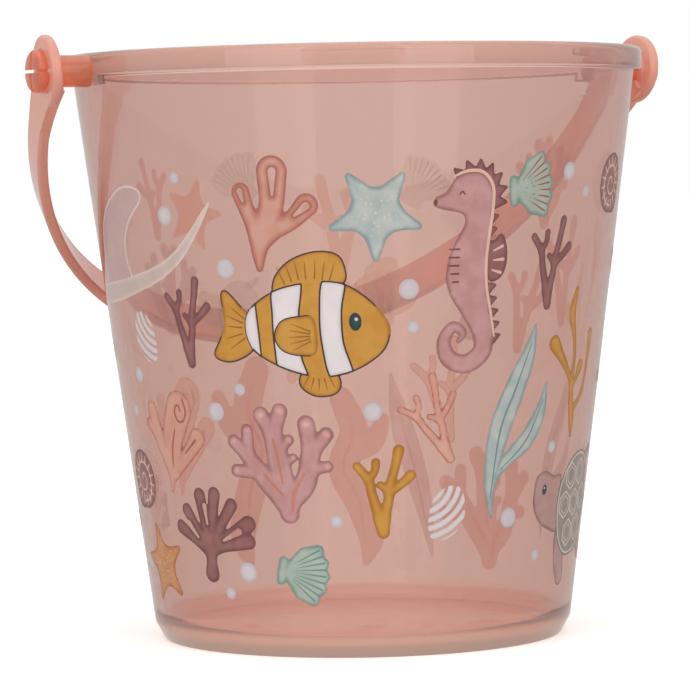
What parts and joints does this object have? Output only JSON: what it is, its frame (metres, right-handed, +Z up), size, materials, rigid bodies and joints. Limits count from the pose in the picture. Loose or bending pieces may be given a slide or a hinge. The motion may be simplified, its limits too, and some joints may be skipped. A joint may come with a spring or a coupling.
{
  "type": "sand bucket",
  "caption": "Small tapered sand bucket in clear peach plastic with a solid rim, a sea-life print and an arched bail that swings on snap studs.",
  "frame": {"origin": "middle of the base, on the surface that the bucket stands on", "axes": "+Z up, X along the line through the two pivot studs, +Y towards the side where the bail rests"},
  "size_m": [0.192, 0.16, 0.1668],
  "materials": {
    "shell_plastic": "clear tinted, glossy",
    "printed_film": "clear film with printed sea-life pictures",
    "bail_plastic": "clear tinted, satin"
  },
  "bodies": {
    "bucket": {"bucket_shell": "shell_plastic", "print_film": "printed_film"},
    "bail": {"bail_handle": "bail_plastic"}
  },
  "joints": [
    {"name": "bail_swing", "type": "hinge", "parent": "bucket", "child": "bail", "pos_m": [0, 0, 0.157], "axis": [1, 0, 0], "range_deg": [0, 270]}
  ]
}
